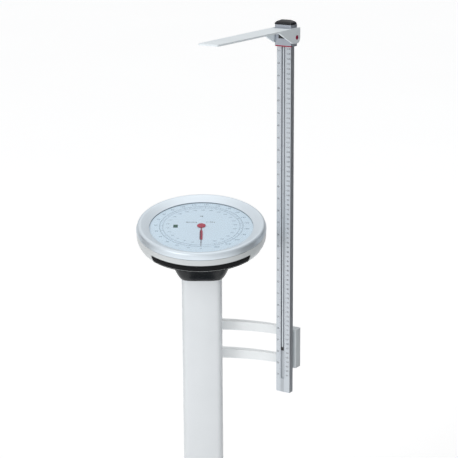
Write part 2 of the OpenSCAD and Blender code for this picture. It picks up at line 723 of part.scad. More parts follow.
module arm_screws() color(steel) for (z = bars_z, x = [-screw_x, screw_x]) {
    y_cylinder(x, 20, column_b + 13, z + bar_h / 2, 2.5);
    y_cylinder(x, column_b + 13, column_b + 17.5, z + bar_h / 2, 4.5);
}

rod_screws_z = [box_z + 20, box_z + box_h - 20];

module bracket_box() color(white) difference() {
    box_body();
    rod_frame() for (z = rod_screws_z) {
        y_cylinder(0, 0, 60, z, 2.5);
        y_cylinder(0, box_rear - 5.5, 60, z, 4.6);
    }
}

module rod_spacer() color(silver) rod_frame() difference() {
    box3([-10.8, rod_d, box_z + 4], [10.8, box_front, box_z + box_h - 4]);
    for (z = rod_screws_z) y_cylinder(0, 0, 60, z, 2.5);
}

module rod_screws() color(steel) rod_frame() for (z = rod_screws_z) {
    y_cylinder(0, cavity_rear + 0.3, box_rear - 5.5, z, 2.5);
    y_cylinder(0, box_rear - 5.5, box_rear - 1, z, 4.5);
}

// ---- Height rod, drawn in the rod's own axes ----

module rod_profile() color(silver) rod_frame() difference() {
    translate([0, 0, rod_bottom]) linear_extrude(rod_top - rod_bottom) difference() {
        round_rect([-rod_w / 2, 0], [rod_w / 2, rod_d], 0.8);
        translate([groove_x - groove_half, -1]) square([2 * groove_half, cavity_front + 2]);
        translate([-cavity_half, cavity_front]) square([2 * cavity_half, cavity_rear - cavity_front]);
    }
    for (z = rod_screws_z) y_cylinder(0, cavity_rear - 1, rod_d + 1, z, 2.5);
}

module bar_section(gap) {
    translate([-cavity_half + gap, bar_front])
        square([2 * (cavity_half - gap), cavity_rear - gap - bar_front]);
    translate([groove_x - 1.7, 0.6]) square([3.4, bar_front]);
}

// The plug closes the groove's lower end; its upper, recessed stage is the inner bar's stop.
module rod_end_plug() color(silver) rod_frame() {
    translate([0, 0, rod_bottom]) linear_extrude(scale_start - rod_bottom) {
        translate([-cavity_half, cavity_front]) square([2 * cavity_half, cavity_rear - cavity_front]);
        translate([groove_x - groove_half, 0]) square([2 * groove_half, cavity_front]);
    }
    box3([-cavity_half + 0.2, cavity_front + 0.9, scale_start - 5],
        [cavity_half - 0.2, cavity_rear - 0.2, bar_bottom - glide_h - 1]);
}

module inner_bar() color(silver) rod_frame() translate([0, 0, bar_bottom])
    linear_extrude(sleeve_top + 0.3 - bar_bottom) bar_section(slack);

module bar_glide() color(black) rod_frame() translate([0, 0, bar_bottom - glide_h]) linear_extrude(glide_h) {
    translate([-cavity_half + 0.2, cavity_front + 0.2])
        square([2 * (cavity_half - 0.2), cavity_rear - cavity_front - 0.4]);
    translate([groove_x - 3.6, 0.4]) square([7.2, cavity_front]);
}

cap_z = sleeve_top + 0.3;
sleeve_depth = sleeve_rear - sleeve_front;

module bar_cap() color(black) rod_frame() hull() {
    translate([-sleeve_half + 0.2, sleeve_front, cap_z]) cube([2 * sleeve_half - 0.4, sleeve_depth, 2.4]);
    translate([-sleeve_half + 2.8, sleeve_front + 2.4, cap_z + 5])
        cube([2 * sleeve_half - 5.6, sleeve_depth - 4.8, 0.6]);
    translate([-9, sleeve_front + 9, cap_z + 8]) cube([20, 5, 1]);
}

// The sleeve's outline has one large corner, at the left of its face, and is open behind the rod.
module sleeve_section() difference() {
    union() {
        translate([-sleeve_half + sleeve_corner, sleeve_front])
            square([2 * sleeve_half - sleeve_corner, sleeve_depth]);
        translate([-sleeve_half, sleeve_front + sleeve_corner])
            square([2 * sleeve_half, sleeve_depth - sleeve_corner]);
        translate([-sleeve_half + sleeve_corner, sleeve_front + sleeve_corner]) circle(sleeve_corner);
    }
    translate([-rod_w / 2 - slack, -slack]) square([rod_w + 2 * slack, rod_d + 2 * slack]);
    translate([-12.2, rod_d]) square([24.4, 10]);
}

module head_sleeve() color(silver) rod_frame() difference() {
    translate([0, 0, reading_z]) linear_extrude(sleeve_top - reading_z) sleeve_section();
    box3([-9.5, sleeve_front - 1, reading_z + 16], [16.5, sleeve_front + 1.8, reading_z + 30]);
    box3([-16.5, sleeve_front - 1, reading_z - 1], [sleeve_half + 1, -1.4, reading_z + line_h]);
    x_cylinder(-30, 30, pivot_y, pivot_z, pivot_r);
}

module brake_pad() color(black) rod_frame()
    box3([-9.5, sleeve_front + 0.4, reading_z + 16], [16.5, sleeve_front + 1.8, reading_z + 30]);

module reading_line() color(red) rod_frame()
    box3([-16.5, sleeve_front + 0.15, reading_z], [sleeve_half - 0.15, -1.4, reading_z + line_h]);

module pivot_buttons() color(red) rod_frame() for (s = [0, 1]) mirror([s, 0, 0]) {
    x_cylinder(rod_w / 2 + slack, arm_half + 0.2, pivot_y, pivot_z, pivot_r);
    x_cylinder(arm_half + 0.2, arm_half + 1, pivot_y, pivot_z, 4.2);
}

module cheek_profile() {
    r = 12;
    top = plate_bottom + arm_t;
    polygon(concat(
        [[cheek_rear, top]],
        [for (i = [0:10]) [cheek_rear - r + r * cos(9 * i), pivot_z - 0.3 - r * sin(9 * i)]],
        [[pivot_y - 14.8, pivot_z - 10.9], [pivot_y - 64.3, plate_bottom - 1.4], [pivot_y - 66.2, top]]));
}

module head_arm() color(white) rod_frame() difference() {
    union() {
        translate([0, 0, plate_bottom]) linear_extrude(arm_t) polygon([
            [-arm_half, arm_root], [-arm_half, -60],
            [-arm_tip_half, arm_tip + 2], [-arm_tip_half + 2, arm_tip],
            [arm_tip_half - 2, arm_tip], [arm_tip_half, arm_tip + 2],
            [arm_half, -60], [arm_half, arm_root]]);
        for (x = [-arm_half, cheek_half]) translate([x, 0, 0]) rotate([90, 0, 90])
            linear_extrude(arm_half - cheek_half) cheek_profile();
    }
    x_cylinder(-30, 30, pivot_y, pivot_z, pivot_r + fit);
}

// ---- Assembly ----

placed() {
    base_tray();
    rubber_feet();
    rear_housing();
    column_foot();
    foot_bolts();
    fulcrum_stands();
    roller_brackets();
    column_tube();
    base_collar();
    neck();
    head_casing();
    grip_band();
    bezel_ring();
    glass_gasket();
    dial_glass();
    dial_plate();
    movement_lower_plate();
    movement_upper_plate();
    movement_pillars();
    rack_guide();
    crank_bracket();
    spring_hanger();
    main_spring();
    upper_bracket_arm();
    lower_bracket_arm();
    arm_screws();
    bracket_box();
    rod_spacer();
    rod_screws();
    rod_profile();
    rod_end_plug();
    platform_cover();
    platform_mat();
    platform_frame();
    main_lever();
    main_lever_pins();
    transfer_lever();
    transfer_lever_pins();
    draw_rod();
    draw_rod_lower_yoke();
    draw_rod_upper_yoke();
    spring_seat();
    bell_crank();
    bell_crank_pins();
    rack();
    pinion();
    pointer();
    pointer_hub();
    zero_knob();
    inner_bar();
    bar_glide();
    bar_cap();
    head_sleeve();
    brake_pad();
    reading_line();
    pivot_buttons();
    head_arm();
    roller_left();
    roller_right();
}
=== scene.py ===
"""Looks of the dial column scale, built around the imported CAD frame.

Blender works in metres, +Z up. Sizes given to the mesh helpers are in millimetres.
"""

import json
import math

import bmesh
import bpy
from mathutils import Matrix, Vector

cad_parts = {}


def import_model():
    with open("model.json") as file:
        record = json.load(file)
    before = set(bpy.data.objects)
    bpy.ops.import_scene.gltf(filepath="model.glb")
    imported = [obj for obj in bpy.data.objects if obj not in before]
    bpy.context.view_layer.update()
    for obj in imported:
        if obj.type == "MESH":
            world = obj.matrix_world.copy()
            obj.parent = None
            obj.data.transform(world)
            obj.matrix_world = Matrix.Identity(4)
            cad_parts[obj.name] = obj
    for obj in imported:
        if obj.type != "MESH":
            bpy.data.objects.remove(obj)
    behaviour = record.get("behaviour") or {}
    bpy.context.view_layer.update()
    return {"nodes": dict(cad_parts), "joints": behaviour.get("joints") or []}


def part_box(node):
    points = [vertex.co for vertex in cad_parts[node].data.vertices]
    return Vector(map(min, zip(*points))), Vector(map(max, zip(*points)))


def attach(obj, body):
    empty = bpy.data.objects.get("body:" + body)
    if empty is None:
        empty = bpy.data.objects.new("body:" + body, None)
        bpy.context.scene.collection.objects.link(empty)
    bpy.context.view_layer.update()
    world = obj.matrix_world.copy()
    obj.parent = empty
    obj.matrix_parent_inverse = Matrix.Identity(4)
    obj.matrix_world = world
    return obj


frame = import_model()
scene = bpy.context.scene
nodes = frame["nodes"]
joint = {j["name"]: j for j in frame["joints"]}
MM = 0.001

FACE_DEPTH = 10.6         # mm from the bezel's crown down to the dial face
FACE_Z = -FACE_DEPTH
ARBOR_Y = 5               # mm from the dial frame's origin to the pointer's arbor
ROD_FACE = 10.3           # mm from the head arm's pivot forward to the rod's face
RED_EDGE_READING = 1.3046   # m, what the red edge reads with the rod pushed in
FULL_LOAD = 220           # kg
SWEEP = 340               # degrees the pointer turns for the full load
LB_PER_KG = 2.2046
MM_PER_INCH = 25.4


# ---------------------------------------------------------------- frames of reference

tube_lo, tube_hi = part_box("column_tube")
COLUMN = Vector(((tube_lo.x + tube_hi.x) / 2, (tube_lo.y + tube_hi.y) / 2, 0))


def axes(x, y, z, origin):
    """Matrix whose columns are the three axes and whose place is origin."""
    m = Matrix((x, y, z)).transposed().to_4x4()
    m.translation = origin
    return m


def dial_matrix():
    """x right, y to the rear, z out of the dial; the origin is the middle of the bezel's crown."""
    z = Vector(joint["pointer_turn"]["axis"]).normalized()
    x = Vector((1, 0, 0))
    y = z.cross(x)
    at = Vector(joint["pointer_turn"]["pos_m"])
    return axes(x, y, z, at - y * ARBOR_Y * MM + z * FACE_DEPTH * MM)


def rod_matrix():
    """x across the rod's face, y into the rod; the origin is on the floor below the face's middle."""
    x = Vector(joint["head_arm_turn"]["axis"]).normalized()
    z = Vector((0, 0, 1))
    y = z.cross(x)
    at = Vector(joint["head_arm_turn"]["pos_m"])
    at.z = 0
    return axes(x, y, z, at - y * ROD_FACE * MM)


DIAL = dial_matrix()
ROD = rod_matrix()
LABEL_ZERO = (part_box("reading_line")[0].z - RED_EDGE_READING) / MM   # height of the scales' zero, mm


# ---------------------------------------------------------------- materials

def srgb(r, g, b):
    """Linear colour from 0-255 screen values."""
    def one(v):
        v /= 255
        return v / 12.92 if v <= 0.04045 else ((v + 0.055) / 1.055) ** 2.4
    return (one(r), one(g), one(b), 1)


class Nodes:
    """Short names for building a node tree."""

    def __init__(self, name):
        self.mat = bpy.data.materials.new(name)
        self.mat.use_nodes = True
        self.tree = self.mat.node_tree
        self.bsdf = self.tree.nodes["Principled BSDF"]

    def add(self, kind, **values):
        n = self.tree.nodes.new(kind)
        for k, v in values.items():
            setattr(n, k, v)
        return n

    def link(self, a, b):
        self.tree.links.new(a, b)

    def math(self, op, a, b=None):
        n = self.add("ShaderNodeMath", operation=op)
        for i, v in enumerate((a, b)):
            if v is None:
                continue
            if isinstance(v, (int, float)):
                n.inputs[i].default_value = v
            else:
                self.link(v, n.inputs[i])
        return n.outputs[0]

    def coords(self, frame_of=None):
        """Object coordinates, in another frame of reference if one is given."""
        out = self.add("ShaderNodeTexCoord").outputs["Object"]
        if frame_of is None:
            return out
        inv = frame_of.inverted()
        m = self.add("ShaderNodeMapping", vector_type="POINT")
        m.inputs["Rotation"].default_value = inv.to_euler("XYZ")
        m.inputs["Location"].default_value = inv.translation
        self.link(out, m.inputs["Vector"])
        return m.outputs[0]

    def scaled(self, vector, scale):
        m = self.add("ShaderNodeMapping", vector_type="POINT")
        m.inputs["Scale"].default_value = scale
        self.link(vector, m.inputs["Vector"])
        return m.outputs[0]

    def noise(self, vector, scale, detail=3.0, rough=0.5):
        n = self.add("ShaderNodeTexNoise")
        n.inputs["Scale"].default_value = scale
        n.inputs["Detail"].default_value = detail
        n.inputs["Roughness"].default_value = rough
        self.link(vector, n.inputs["Vector"])
        return n.outputs["Fac"]

    def span(self, value, low, high, from_low=0.0, from_high=1.0):
        n = self.add("ShaderNodeMapRange")
        n.inputs["From Min"].default_value = from_low
        n.inputs["From Max"].default_value = from_high
        n.inputs["To Min"].default_value = low
        n.inputs["To Max"].default_value = high
        self.link(value, n.inputs["Value"])
        return n.outputs[0]

    def mix(self, fac, a, b):
        n = self.add("ShaderNodeMix", data_type="RGBA")
        self.link(fac, n.inputs[0])
        for socket, v in ((n.inputs[6], a), (n.inputs[7], b)):
            if isinstance(v, tuple):
                socket.default_value = v
            else:
                self.link(v, socket)
        return n.outputs[2]

    def bump(self, height, distance):
        n = self.add("ShaderNodeBump")
        n.inputs["Distance"].default_value = distance
        self.link(height, n.inputs["Height"])
        self.link(n.outputs[0], self.bsdf.inputs["Normal"])

    def set(self, **values):
        for k, v in values.items():
            self.bsdf.inputs[k.replace("_", " ")].default_value = v


def shade(colour, k):
    return tuple(min(1, c * k) for c in colour[:3]) + (1,)


def coated(name, colour, rough, vary, grain, depth, **extra):
    """Painted or moulded surface: slow colour drift, fine grain in the roughness and the relief."""
    n = Nodes(name)
    at = n.coords()
    slow = n.span(n.noise(at, 14, 2), 0, 1, 0.3, 0.7)
    n.link(n.mix(slow, shade(colour, 1 - vary), shade(colour, 1 + vary)), n.bsdf.inputs["Base Color"])
    fine = n.noise(at, grain, 3)
    n.link(n.span(fine, rough * 0.8, rough * 1.2, 0.3, 0.7), n.bsdf.inputs["Roughness"])
    n.bump(fine, depth)
    n.set(**extra)
    return n.mat


def ink(name, colour, rough, vary, grain, depth):
    """Paint or print with almost no sheen, so that bright surroundings don't wash it out."""
    return coated(name, colour, rough, vary, grain, depth, Specular_IOR_Level=0.06)


def brushed(n, lines, drift, dark, light, rough, metallic):
    """Sets a metal's colour, roughness and relief from one noise of brushing lines."""
    n.link(n.mix(drift, dark, light), n.bsdf.inputs["Base Color"])
    n.link(n.span(lines, rough * 0.8, rough * 1.25, 0.3, 0.7), n.bsdf.inputs["Roughness"])
    n.bump(lines, 0.00001)
    n.set(Metallic=metallic)
    return n.mat


def metal(name, colour, rough, stretch, frame_of=None, metallic=1.0):
    """Drawn or brushed metal; the noise is stretched along the brushing."""
    n = Nodes(name)
    lines = n.noise(n.scaled(n.coords(frame_of), stretch), 1, 4, 0.6)
    drift = n.span(lines, 0, 1, 0.35, 0.65)
    return brushed(n, lines, drift, shade(colour, 0.95), shade(colour, 1.05), rough, metallic)


def spun_metal(name, colour, rough, metallic):
    """Metal turned on a lathe about the dial's axis: the lines run round the ring."""
    n = Nodes(name)
    at = n.coords(DIAL)
    split = n.add("ShaderNodeSeparateXYZ")
    n.link(at, split.inputs[0])
    x, y, z = split.outputs
    radius = n.math("SQRT", n.math("ADD", n.math("MULTIPLY", x, x), n.math("MULTIPLY", y, y)))
    turn = n.math("ARCTAN2", y, x)
    join = n.add("ShaderNodeCombineXYZ")
    for i, (part, stretch) in enumerate(((radius, 2600), (turn, 2.2), (z, 2600))):
        n.link(n.math("MULTIPLY", part, stretch), join.inputs[i])
    lines = n.noise(join.outputs[0], 1, 4, 0.65)
    drift = n.span(lines, 0, 1, 0.3, 0.7)
    return brushed(n, lines, drift, shade(colour, 0.94), shade(colour, 1.04), rough, metallic)


WHITE = coated("white_paint", srgb(225, 229, 232), 0.34, 0.015, 700, 0.00001,
               Coat_Weight=0.6, Coat_Roughness=0.14)
# Painted shade: the bracket box takes the bracket's white paint made darker, standing in for the shade
# on its side.
SHADED_BOX_WHITE = coated("box_white_painted_shade", srgb(208, 214, 217), 0.34, 0.015, 700, 0.00001)
# Painted light: the bracket arms take the same white paint made lighter, standing in for light falling
# on their fronts.
LIT_BRACKET_WHITE = coated("bracket_white_painted_light", srgb(246, 249, 250), 0.34, 0.015, 700, 0.00001)
BASE_WHITE = coated("base_white", srgb(229, 231, 234), 0.38, 0.02, 1100, 0.00002)
CASING = coated("casing_silver", srgb(206, 210, 211), 0.36, 0.02, 900, 0.00001)
NECK_BLACK = coated("neck_gloss_black", srgb(24, 27, 30), 0.24, 0.05, 400, 0.000004,
                    Specular_IOR_Level=0.3)
CAP_BLACK = coated("cap_black", srgb(20, 21, 28), 0.16, 0.05, 900, 0.000005)
GRIP = coated("grip_rubber", srgb(17, 18, 20), 0.7, 0.08, 1800, 0.00004, Specular_IOR_Level=0.12)
RUBBER = coated("mat_rubber", srgb(40, 41, 44), 0.72, 0.08, 1500, 0.00006)
PLASTIC_BLACK = coated("black_plastic", srgb(34, 34, 37), 0.45, 0.06, 1300, 0.00003)
PLUG_GREY = coated("plug_grey", srgb(182, 188, 194), 0.5, 0.03, 1200, 0.00002)
ARM_WHITE = coated("arm_white", srgb(230, 237, 241), 0.42, 0.02, 1000, 0.00002)
RED = ink("red_plastic", srgb(176, 22, 56), 0.35, 0.05, 900, 0.00001)
RED_BUTTON = ink("button_red", srgb(150, 28, 66), 0.35, 0.05, 900, 0.00001)
RED_LINE = ink("line_red", srgb(168, 40, 66), 0.5, 0.05, 900, 0.00001)
RED_DARK = ink("pointer_shade", srgb(112, 18, 44), 0.4, 0.05, 900, 0.00001)
NEEDLE_GREY = ink("needle_grey", srgb(92, 98, 108), 0.4, 0.05, 900, 0.00001)
RED_PAINT = ink("pointer_red", srgb(168, 22, 58), 0.40, 0.05, 900, 0.00001)
DIAL_FACE = coated("dial_face", srgb(209, 228, 242), 0.45, 0.01, 1200, 0.000006)
PRINT = ink("dial_print", srgb(100, 128, 152), 0.5, 0.05, 1500, 0.000005)
PRINT_DARK = ink("dark_print", srgb(44, 48, 62), 0.5, 0.05, 1500, 0.000005)
ROD_PRINT = ink("rod_print", srgb(48, 54, 62), 0.5, 0.05, 1500, 0.000005)
GREEN = ink("green_mark", srgb(20, 70, 48), 0.5, 0.08, 1500, 0.000005)
BEZEL = spun_metal("bezel_spun", srgb(222, 231, 238), 0.42, 0.65)
ROD_METAL = metal("rod_anodised", srgb(202, 208, 214), 0.38, (3000, 3000, 12), ROD, metallic=0.75)
SLEEVE_METAL = metal("sleeve_anodised", srgb(178, 183, 192), 0.40, (3000, 3000, 12), ROD,
                     metallic=0.6)
STEEL = metal("plain_steel", srgb(168, 171, 176), 0.34, (400, 400, 400))
SPRING = metal("spring_steel", srgb(140, 143, 150), 0.28, (900, 900, 900))
BRASS = metal("brass", srgb(205, 176, 110), 0.30, (1500, 40, 1500))


def glass_material():
    """Clear crystal: nearly all see-through face on, more of a mirror at a low angle."""
    n = Nodes("crystal")
    at = n.coords(DIAL)
    look = n.add("ShaderNodeLayerWeight")
    look.inputs["Blend"].default_value = 0.25
    n.link(n.span(look.outputs["Fresnel"], 0.004, 0.1), n.bsdf.inputs["Alpha"])
    n.link(n.span(n.noise(at, 60, 2), 0.02, 0.05), n.bsdf.inputs["Roughness"])
    tint = n.span(n.noise(at, 9, 1), 0, 1)
    n.link(n.mix(tint, srgb(222, 236, 246), srgb(228, 240, 248)), n.bsdf.inputs["Base Color"])
    return n.mat


CRYSTAL = glass_material()

finish = {
    WHITE: "column_tube",
    # the bracket box gets the darkened copy of the white paint: painted shade
    SHADED_BOX_WHITE: "bracket_box",
    # the bracket arms get the lightened copy of the white paint: painted light
    LIT_BRACKET_WHITE: "upper_bracket_arm lower_bracket_arm",
    BASE_WHITE: "base_tray rear_housing platform_cover",
    CASING: "head_casing",
    BEZEL: "bezel_ring",
    CRYSTAL: "dial_glass",
    DIAL_FACE: "dial_plate",
    GRIP: "grip_band",
    RUBBER: "rubber_feet platform_mat roller_left roller_right",
    PLASTIC_BLACK: "base_collar zero_knob bar_glide brake_pad",
    CAP_BLACK: "bar_cap",
    NECK_BLACK: "neck",
    PLUG_GREY: "rod_end_plug glass_gasket",
    ARM_WHITE: "head_arm",
    RED: "pointer_hub",
    RED_LINE: "reading_line",
    RED_BUTTON: "pivot_buttons",
    RED_PAINT: "pointer",
    ROD_METAL: "rod_profile rod_spacer inner_bar",
    SLEEVE_METAL: "head_sleeve",
    SPRING: "main_spring",
    BRASS: "movement_lower_plate movement_upper_plate movement_pillars rack_guide rack pinion",
    STEEL: "column_foot foot_bolts fulcrum_stands roller_brackets crank_bracket spring_hanger "
           "arm_screws rod_screws platform_frame main_lever main_lever_pins transfer_lever "
           "transfer_lever_pins draw_rod draw_rod_lower_yoke draw_rod_upper_yoke spring_seat "
           "bell_crank bell_crank_pins",
}
for mat, names in finish.items():
    for name in names.split():
        nodes[name].data.materials.clear()
        nodes[name].data.materials.append(mat)


# ---------------------------------------------------------------- soft edges on the CAD pieces

def welded(names):
    """Yields the named CAD pieces, shaded smooth and with their meshes' seams welded."""
    for name in names.split():
        o = nodes[name]
        weld = o.modifiers.new("weld", "WELD")
        weld.merge_threshold = 1e-6
        for p in o.data.polygons:
            p.use_smooth = True
        yield o


def soften(names, width, segments=3, angle=32):
    """Rounds the edges sharper than angle degrees; width is in millimetres."""
    for o in welded(names):
        flat = o.modifiers.new("flat", "DECIMATE")
        flat.decimate_type = "DISSOLVE"
        flat.angle_limit = math.radians(0.4)
        edge = o.modifiers.new("edge", "BEVEL")
        edge.width = width * MM
        edge.segments = segments
        edge.limit_method = "ANGLE"
        edge.angle_limit = math.radians(angle)
        edge.use_clamp_overlap = True
        edge.harden_normals = False
        normals = o.modifiers.new("normals", "WEIGHTED_NORMAL")
        normals.keep_sharp = False


def smooth(names, angle):
    """Smooth shading with hard lines only where faces meet at more than angle degrees."""
    for o in welded(names):
        split = o.modifiers.new("split", "EDGE_SPLIT")
        split.split_angle = math.radians(angle)


smooth("neck main_spring bezel_ring head_casing dial_glass", 30)
soften("upper_bracket_arm lower_bracket_arm", 1.2)
soften("bracket_box", 1.5)
soften("head_arm", 0.9)
soften("head_sleeve", 0.5, 2)
soften("bar_cap", 1.6, 4, 20)
soften("rod_profile", 0.25, 2)
soften("base_tray", 1.0)
soften("platform_cover", 2.0, 4)
soften("platform_mat", 1.2)
soften("rear_housing", 1.5)
soften("base_collar", 0.8)
soften("zero_knob", 1.2)
soften("rubber_feet roller_left roller_right", 0.8)
soften("grip_band", 0.3, 2)
soften("column_foot", 1.0, 2)
soften("platform_frame main_lever transfer_lever fulcrum_stands roller_brackets", 0.5, 2)


# ---------------------------------------------------------------- mesh helpers

def piece(name, bm, mat, body, matrix):
    """Turns a bmesh, in the frame of reference matrix, into a piece riding on a body."""
    bmesh.ops.transform(bm, matrix=matrix, verts=bm.verts)
    bmesh.ops.recalc_face_normals(bm, faces=bm.faces)
    me = bpy.data.meshes.new(name)
    bm.to_mesh(me)
    bm.free()
    me.materials.append(mat)
    o = bpy.data.objects.new(name, me)
    scene.collection.objects.link(o)
    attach(o, body)


def block(bm, x0, x1, y0, y1, z0, z1, turn=None):
    """Adds a closed box, in millimetres, turned by a matrix about the origin if one is given."""
    m = Matrix.Translation(Vector(((x0 + x1) / 2, (y0 + y1) / 2, (z0 + z1) / 2)) * MM)
    m = m @ Matrix.Diagonal(Vector((x1 - x0, y1 - y0, z1 - z0, 1000)) * MM)
    if turn is not None:
        m = turn @ m
    bmesh.ops.create_cube(bm, size=1, matrix=m)


def ring(bm, r0, r1, z0, z1, y):
    """Adds a flat ring, in millimetres, about (0, y)."""
    count = 180
    loops = []
    for r, z in ((r0, z0), (r1, z0), (r1, z1), (r0, z1)):
        loops.append([bm.verts.new((r * math.cos(a) * MM, (y + r * math.sin(a)) * MM, z * MM))
                      for a in (2 * math.pi * i / count for i in range(count))])
    for k in range(4):
        a, b = loops[k], loops[(k + 1) % 4]
        for i in range(count):
            j = (i + 1) % count
            bm.faces.new((a[i], a[j], b[j], b[i]))


def word(bm, text, size, x, y, z, turn=None, bold=0.0):
    """Adds raised figures, in millimetres, centred on (x, y), with their feet at z."""
    thick = 0.04
    curve = bpy.data.curves.new("figure", "FONT")
    curve.body = text
    curve.size = size * MM
    curve.align_x = "CENTER"
    curve.align_y = "CENTER"
    curve.extrude = thick * MM / 2
    curve.offset = bold * MM
    curve.resolution_u = 2
    o = bpy.data.objects.new("figure", curve)
    me = bpy.data.meshes.new_from_object(o)
    m = Matrix.Translation(Vector((x, y, z + thick / 2)) * MM)
    if turn is not None:
        m = turn @ m
    me.transform(m)
    bm.from_mesh(me)
    bpy.data.meshes.remove(me)
    bpy.data.objects.remove(o)
    bpy.data.curves.remove(curve)


# ---------------------------------------------------------------- dial print

KG_RADIUS = 87.6          # the kilogram marks run inward from this circle, mm
LB_RADIUS = 81            # and the pound marks inward from this one
PRINT_TOP = FACE_Z + 0.03


def dial_turn(kg):
    """Turn about the arbor that brings the front mark round to kg, clockwise."""
    return Matrix.Translation(Vector((0, ARBOR_Y, 0)) * MM) @ Matrix.Rotation(
        -math.radians(SWEEP * kg / FULL_LOAD), 4, "Z")


def tick_length(n, lengths):
    """The length for mark number n, from (divisor, length) pairs; the first that divides n counts."""
    return next(length for divisor, length in lengths if n % divisor == 0)


def figure_ring(bm, values, per_kg, radius, size):
    """Upright figures round the arbor, one for each value."""
    for value in values:
        a = math.radians(SWEEP * value / per_kg / FULL_LOAD)
        word(bm, str(value), size, -radius * math.sin(a), ARBOR_Y - radius * math.cos(a), FACE_Z)


def dial_print():
    bm = bmesh.new()
    for r in (LB_RADIUS, KG_RADIUS):
        ring(bm, r - 0.28, r + 0.28, FACE_Z, PRINT_TOP, ARBOR_Y)
    for kg in range(FULL_LOAD + 1):
        long = tick_length(kg, ((10, 6.4), (5, 4.4), (1, 2.6)))
        half = 0.32 if kg % 10 == 0 else 0.17
        block(bm, -half, half, -KG_RADIUS, -KG_RADIUS + long, FACE_Z, PRINT_TOP, dial_turn(kg))
    for lb in range(0, 486, 2):
        long = tick_length(lb, ((20, 3.4), (10, 2.2), (1, 1.2)))
        low = -LB_RADIUS + 0.2
        block(bm, -0.1, 0.1, low, low + long, FACE_Z, PRINT_TOP, dial_turn(lb / LB_PER_KG))
    figure_ring(bm, range(0, FULL_LOAD + 1, 10), 1, 95.5, 7.2)
    figure_ring(bm, range(0, 481, 20), LB_PER_KG, 71, 5.4)
    piece("dial_figures", bm, PRINT, "base", DIAL)
    bm = bmesh.new()
    word(bm, "MAX 220 kg", 4.6, -21, ARBOR_Y + 17, FACE_Z, bold=0.12)
    word(bm, "d = 500 g", 4.6, 19, ARBOR_Y + 17, FACE_Z, bold=0.12)
    word(bm, "kg", 8, 0, ARBOR_Y + 44, FACE_Z)
    piece("dial_words", bm, PRINT_DARK, "base", DIAL)
    bm = bmesh.new()
    block(bm, -54 - 4.7, -54 + 4.7, -6.5 + ARBOR_Y, 6.5 + ARBOR_Y, FACE_Z, FACE_Z + 0.04)
    piece("dial_green_mark", bm, GREEN, "base", DIAL)


dial_print()


def grip_lip():
    """The grip's lower edge, rolled round the casing's corner under the band."""
    corner_r, corner_z = 122.0, -42.4     # middle of the casing's rounded corner
    wide, high = 8, 3.6                   # the corner's half axes
    half_angle = 48.3                     # degrees each way from the front
    steps = 60
    bm = bmesh.new()
    section = []
    for skin in (0.25, -0.4):
        arc = []
        for degrees in range(0, 85, 12):
            a = math.radians(degrees)
            arc.append((corner_r + (wide + skin) * math.cos(a), corner_z - (high + skin) * math.sin(a)))
        section += arc if skin > 0 else arc[::-1]
    loops = []
    for i in range(steps + 1):
        turn = math.radians(-90 + half_angle * (2 * i / steps - 1))
        loops.append([bm.verts.new((r * math.cos(turn) * MM, r * math.sin(turn) * MM, z * MM))
                      for r, z in section])
    count = len(section)
    for a, b in zip(loops, loops[1:]):
        for k in range(count):
            m = (k + 1) % count
            bm.faces.new((a[k], a[m], b[m], b[k]))
    bm.faces.new(loops[0])
    bm.faces.new(loops[-1][::-1])
    piece("grip_lip", bm, GRIP, "base", DIAL)


grip_lip()


def plate(bm, outline, z0, z1):
    """Adds a flat plate, in millimetres, with the outline given as corners in order."""
    low = [bm.verts.new((x * MM, y * MM, z0 * MM)) for x, y in outline]
    high = [bm.verts.new((x * MM, y * MM, z1 * MM)) for x, y in outline]
    bm.faces.new(low[::-1])
    bm.faces.new(high)
    for i in range(len(outline)):
        j = (i + 1) % len(outline)
        bm.faces.new((low[i], low[j], high[j], high[i]))


def pointer_trim():
    """The pointer's folded half, in shade, and its bare needle; both turn with the pointer."""
    top = FACE_Z + 1.0
    # corners as (across, distance out from the arbor)
    fold = ((-3.06, 57.9), (0, 59.8), (0, 9.1), (-1.2, 9.1), (-1.2, 19), (-2.96, 22))
    needle = ((-0.46, 84), (0.46, 84), (0.86, 60.2), (-0.86, 60.2))
    for name, corners, thick, mat in (("pointer_fold", fold, 0.12, RED_DARK),
                                      ("pointer_needle", needle, 0.1, NEEDLE_GREY)):
        bm = bmesh.new()
        plate(bm, [(x, ARBOR_Y - out) for x, out in corners], top, top + thick)
        piece(name, bm, mat, "pointer", DIAL)


pointer_trim()


# ---------------------------------------------------------------- rod scales

STAND = Matrix.Rotation(math.radians(90), 4, "X")   # stands print up on the rod's face
BAR_TRAVEL = 600                                    # mm that the inner bar slides up


def rod_tick(bm, x0, x1, z, y0=-0.03, y1=0.01, half=0.12):
    """Adds one mark of a scale, in millimetres: half above and half below z."""
    block(bm, x0, x1, y0, y1, z - half, z + half)


def rod_scales():
    """Centimetres on the right and inches on the left of the groove, read at the sleeve's lower edge."""
    bm = bmesh.new()
    for mark in range(602, 1304, 2):
        long = 5.2 if mark % 10 == 0 else 2.4
        rod_tick(bm, 3.4, 3.4 + long, LABEL_ZERO + mark)
    for cm in range(61, 131):
        word(bm, str(cm), 5.4, 11.4, LABEL_ZERO + cm * 10, 0, STAND)
    for eighth in range(24 * 8 - 3, 51 * 8 + 3):
        long = tick_length(eighth, ((8, 4.4), (4, 3.2), (1, 2)))
        rod_tick(bm, -5.8 - long, -5.8, LABEL_ZERO + eighth * MM_PER_INCH / 8)
    for inch in range(24, 52):
        word(bm, str(inch), 5.4, -12.2, LABEL_ZERO + inch * MM_PER_INCH, 0, STAND)
    piece("rod_scales", bm, ROD_PRINT, "base", ROD)


